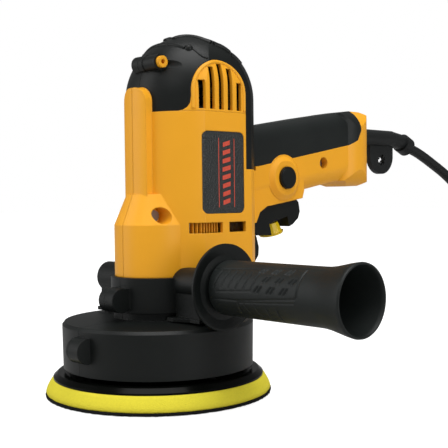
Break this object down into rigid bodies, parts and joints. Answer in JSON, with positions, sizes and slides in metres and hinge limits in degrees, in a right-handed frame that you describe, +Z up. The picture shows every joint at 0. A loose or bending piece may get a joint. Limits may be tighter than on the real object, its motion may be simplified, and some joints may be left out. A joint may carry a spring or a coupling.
{
  "type": "rotary polisher",
  "caption": "Electric rotary polisher with an upright motor, a foam pad under a round skirt, a rear trigger handle, a screwed-in side handle and a mains cord.",
  "frame": {"origin": "centre of the pad's working face, on the spindle axis", "axes": "+Z up along the spindle, away from the work; +Y towards the rear handle and cord; +X towards the side handle; -Y is the tool's front"},
  "size_m": [0.247, 0.5325, 0.2386],
  "materials": {
    "orange_plastic": "satin",
    "black_plastic": "satin",
    "soft_black": "matte",
    "gloss_black": "gloss",
    "label_black": "grained",
    "steel": "satin",
    "dark_steel": "oiled",
    "die_cast": "cast",
    "copper": "enamelled",
    "board": "satin",
    "foam": "open cell",
    "hook": "hook and loop",
    "dial_yellow": "satin",
    "cord_rubber": "matte",
    "carbon": "matte",
    "brass": "plated"
  },
  "bodies": {
    "housing": {"shell_right": "orange_plastic", "shell_left": "orange_plastic", "cap_right": "black_plastic", "cap_left": "black_plastic", "grille_right": "orange_plastic", "grille_left": "orange_plastic", "label_right": "label_black", "label_left": "label_black", "grip_right": "soft_black", "grip_left": "soft_black", "rear_trim": "black_plastic", "housing_screws": "dark_steel", "cap_bushes": "orange_plastic", "gear_case": "die_cast", "gear_plate": "die_cast", "plate_screws": "dark_steel", "head_cover_right": "black_plastic", "head_cover_left": "black_plastic", "cover_screws": "dark_steel", "skirt_right": "black_plastic", "skirt_left": "black_plastic", "skirt_screws": "dark_steel", "handle_bushes": "steel", "side_handle_core": "black_plastic", "side_handle_grip": "soft_black", "side_handle_stud": "steel", "stator_core": "dark_steel", "field_coils": "copper", "brush_holders": "black_plastic", "brushes": "carbon", "upper_bearing": "steel", "lower_bearing": "steel", "spindle_bearing_lower": "steel", "spindle_bearing_upper": "steel", "switch_module": "black_plastic", "lock_spring": "steel", "speed_board": "board", "capacitor": "dial_yellow", "cord_clamp": "black_plastic", "strain_relief": "cord_rubber", "power_cord": "cord_rubber", "cord_coil": "cord_rubber", "plug_body": "cord_rubber", "plug_pins": "brass"},
    "spindle_assembly": {"spindle": "steel", "spindle_gear": "dark_steel", "backing_plate": "gloss_black", "plate_bush": "steel", "foam_pad": "foam", "hook_face": "hook"},
    "rotor": {"motor_shaft": "steel", "pinion": "steel", "armature_core": "dark_steel", "armature_windings": "copper", "commutator": "copper", "fan": "black_plastic"},
    "trigger_paddle": {"trigger": "black_plastic"},
    "dial": {"speed_dial": "dial_yellow"},
    "lock": {"lock_button": "black_plastic"}
  },
  "joints": [
    {"name": "spindle_spin", "type": "hinge", "parent": "housing", "child": "spindle_assembly", "pos_m": [0, 0, 0.03], "axis": [0, 0, 1], "continuous": true},
    {"name": "rotor_spin", "type": "hinge", "parent": "housing", "child": "rotor", "pos_m": [0, 0.028, 0.1], "axis": [0, 0, 1], "continuous": true},
    {"name": "trigger_pull", "type": "hinge", "parent": "housing", "child": "trigger_paddle", "pos_m": [0, 0.092, 0.13], "axis": [1, 0, 0], "range_deg": [0, 6], "stiffness_Nm_per_rad": 1.2, "springref_deg": -3.44},
    {"name": "lock_press", "type": "slide", "parent": "housing", "child": "lock", "axis": [-1, 0, 0], "range_m": [0, 0.003], "stiffness_N_per_m": 600, "springref_m": -0.001, "deforming": ["lock_spring"]},
    {"name": "dial_turn", "type": "hinge", "parent": "trigger_paddle", "child": "dial", "pos_m": [0, 0.1075, 0.107], "axis": [0, -0.2588, 0.9659], "range_deg": [-135, 135]}
  ],
  "couplings": [
    {"joint": "rotor_spin", "follows": "spindle_spin", "ratio": -7.75}
  ]
}
